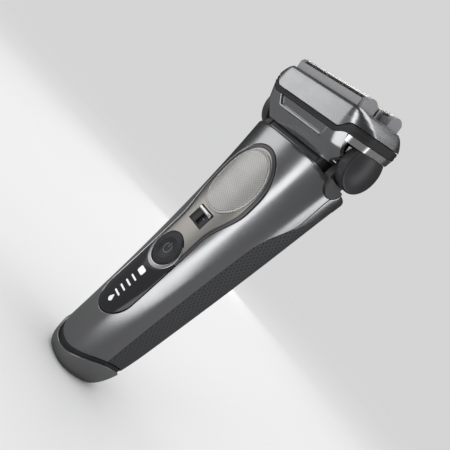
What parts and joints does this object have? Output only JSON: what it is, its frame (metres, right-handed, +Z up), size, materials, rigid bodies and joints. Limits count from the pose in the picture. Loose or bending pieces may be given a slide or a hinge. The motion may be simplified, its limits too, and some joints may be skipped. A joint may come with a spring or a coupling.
{
  "type": "electric shaver",
  "caption": "Cordless electric foil shaver: tapered handle with control panel, tilting twin-foil head with centre trimmers, lift-off cassette and a slide-up long-hair trimmer.",
  "frame": {"origin": "middle of the flat foot of the bottom cap, on the surface the shaver stands on", "axes": "+Z up along the handle towards the head, -Y out of the front (control panel) face, +X to the shaver's left as seen by someone behind it, that is to the right when facing the panel"},
  "size_m": [0.0628, 0.0426, 0.1647],
  "materials": {
    "silver_shell": "satin",
    "grip_rubber": "matte",
    "seal_rubber": "matte",
    "dark_plastic": "satin",
    "border_grey": "satin",
    "champagne_metal": "brushed",
    "display_gloss": "gloss",
    "icon_light": "gloss",
    "bright_chrome": "polished",
    "board_green": "satin",
    "component_black": "matte",
    "cell_wrap": "gloss",
    "contact_brass": "polished",
    "steel": "brushed",
    "copper": "satin",
    "flex_black": "satin",
    "foil_metal": "satin",
    "carrier_grey": "satin"
  },
  "bodies": {
    "handle": {"front_shell": "silver_shell", "rear_grip": "grip_rubber", "rear_housing": "dark_plastic", "shoulder_covers": "silver_shell", "bottom_cap": "silver_shell", "bottom_seal": "seal_rubber", "panel_border": "border_grey", "panel_plate": "champagne_metal", "grip_pad": "champagne_metal", "display_window": "display_gloss", "display_icons": "icon_light", "power_button_ring": "bright_chrome", "lock_window": "display_gloss", "inner_chassis": "dark_plastic", "circuit_board": "board_green", "board_components": "component_black", "battery": "cell_wrap", "battery_contacts": "contact_brass", "charging_socket": "dark_plastic", "socket_pins": "contact_brass", "housing_screws": "steel", "swing_yoke": "dark_plastic", "neck_cover": "dark_plastic", "pivot_pins": "steel", "flex_cable": "flex_black", "trimmer_guide": "dark_plastic"},
    "power_button": {"power_button": "display_gloss"},
    "lock_slider": {"lock_slider": "bright_chrome"},
    "trimmer": {"trimmer_cover": "dark_plastic", "trimmer_comb": "steel"},
    "trimmer_blade": {"trimmer_blade": "steel"},
    "head": {"head_frame": "silver_shell", "head_seal": "seal_rubber", "side_housing_left": "dark_plastic", "side_housing_right": "dark_plastic", "side_trims": "bright_chrome", "drive_deck": "dark_plastic", "motor_core": "steel", "motor_coil": "copper", "motor_springs": "steel", "pin_boots": "seal_rubber"},
    "release_left": {"release_button_left": "dark_plastic"},
    "release_right": {"release_button_right": "dark_plastic"},
    "mover_front": {"mover_front": "steel"},
    "mover_rear": {"mover_rear": "steel"},
    "cassette": {"cassette_shell": "silver_shell", "cassette_chassis": "dark_plastic", "float_springs": "steel"},
    "foil_front": {"foil_front": "foil_metal", "foil_carrier_front": "carrier_grey"},
    "foil_rear": {"foil_rear": "foil_metal", "foil_carrier_rear": "carrier_grey"},
    "cutter_front": {"cutter_front": "steel"},
    "cutter_rear": {"cutter_rear": "steel"},
    "lift_trimmer": {"lift_trimmer_comb": "steel"},
    "lift_blade": {"lift_trimmer_blade": "steel"},
    "direct_trimmer": {"direct_trimmer_comb": "steel"},
    "direct_blade": {"direct_trimmer_blade": "steel"}
  },
  "joints": [
    {"name": "head_tilt", "type": "hinge", "parent": "handle", "child": "head", "pos_m": [0, -0.003, 0.139], "axis": [1, 0, 0], "range_deg": [-39, 1]},
    {"name": "power_press", "type": "slide", "parent": "handle", "child": "power_button", "axis": [0, 1, 0], "range_m": [0, 0.0006], "stiffness_N_per_m": 3000},
    {"name": "lock_slide", "type": "slide", "parent": "handle", "child": "lock_slider", "axis": [0, 0, 1], "range_m": [-0.0045, 0]},
    {"name": "trimmer_slide", "type": "slide", "parent": "handle", "child": "trimmer", "axis": [0, 0, 1], "range_m": [0, 0.011]},
    {"name": "trimmer_blade_drive", "type": "slide", "parent": "trimmer", "child": "trimmer_blade", "axis": [1, 0, 0], "range_m": [-0.0006, 0.0006]},
    {"name": "release_left_press", "type": "slide", "parent": "head", "child": "release_left", "axis": [1, 0, 0], "range_m": [0, 0.001], "stiffness_N_per_m": 2500},
    {"name": "release_right_press", "type": "slide", "parent": "head", "child": "release_right", "axis": [-1, 0, 0], "range_m": [0, 0.001], "stiffness_N_per_m": 2500},
    {"name": "motor_drive", "type": "slide", "parent": "head", "child": "mover_front", "axis": [1, 0, 0], "range_m": [-0.0008, 0.0008], "stiffness_N_per_m": 2500},
    {"name": "motor_drive_rear", "type": "slide", "parent": "head", "child": "mover_rear", "axis": [1, 0, 0], "range_m": [-0.0008, 0.0008]},
    {"name": "cassette_lift", "type": "slide", "parent": "head", "child": "cassette", "axis": [0, -0.3256, 0.9455], "range_m": [0, 0.022]},
    {"name": "foil_front_float", "type": "slide", "parent": "cassette", "child": "foil_front", "axis": [0, 0.3256, -0.9455], "range_m": [0, 0.002], "stiffness_N_per_m": 500, "springref_m": -0.001},
    {"name": "foil_rear_float", "type": "slide", "parent": "cassette", "child": "foil_rear", "axis": [0, 0.3256, -0.9455], "range_m": [0, 0.002], "stiffness_N_per_m": 500, "springref_m": -0.001},
    {"name": "cutter_front_drive", "type": "slide", "parent": "foil_front", "child": "cutter_front", "axis": [1, 0, 0], "range_m": [-0.0008, 0.0008]},
    {"name": "cutter_rear_drive", "type": "slide", "parent": "foil_rear", "child": "cutter_rear", "axis": [1, 0, 0], "range_m": [-0.0008, 0.0008]},
    {"name": "lift_trimmer_float", "type": "slide", "parent": "cassette", "child": "lift_trimmer", "axis": [0, 0.3256, -0.9455], "range_m": [0, 0.0012], "stiffness_N_per_m": 300, "springref_m": -0.001},
    {"name": "direct_trimmer_float", "type": "slide", "parent": "cassette", "child": "direct_trimmer", "axis": [0, 0.3256, -0.9455], "range_m": [0, 0.0012], "stiffness_N_per_m": 300, "springref_m": -0.001},
    {"name": "lift_blade_drive", "type": "slide", "parent": "lift_trimmer", "child": "lift_blade", "axis": [1, 0, 0], "range_m": [-0.0008, 0.0008]},
    {"name": "direct_blade_drive", "type": "slide", "parent": "direct_trimmer", "child": "direct_blade", "axis": [1, 0, 0], "range_m": [-0.0008, 0.0008]}
  ],
  "couplings": [
    {"joint": "motor_drive_rear", "follows": "motor_drive", "ratio": -1},
    {"joint": "cutter_front_drive", "follows": "motor_drive", "ratio": 1},
    {"joint": "cutter_rear_drive", "follows": "motor_drive", "ratio": -1},
    {"joint": "lift_blade_drive", "follows": "motor_drive", "ratio": 1},
    {"joint": "direct_blade_drive", "follows": "motor_drive", "ratio": -1},
    {"joint": "trimmer_blade_drive", "follows": "motor_drive", "ratio": 0.75}
  ]
}
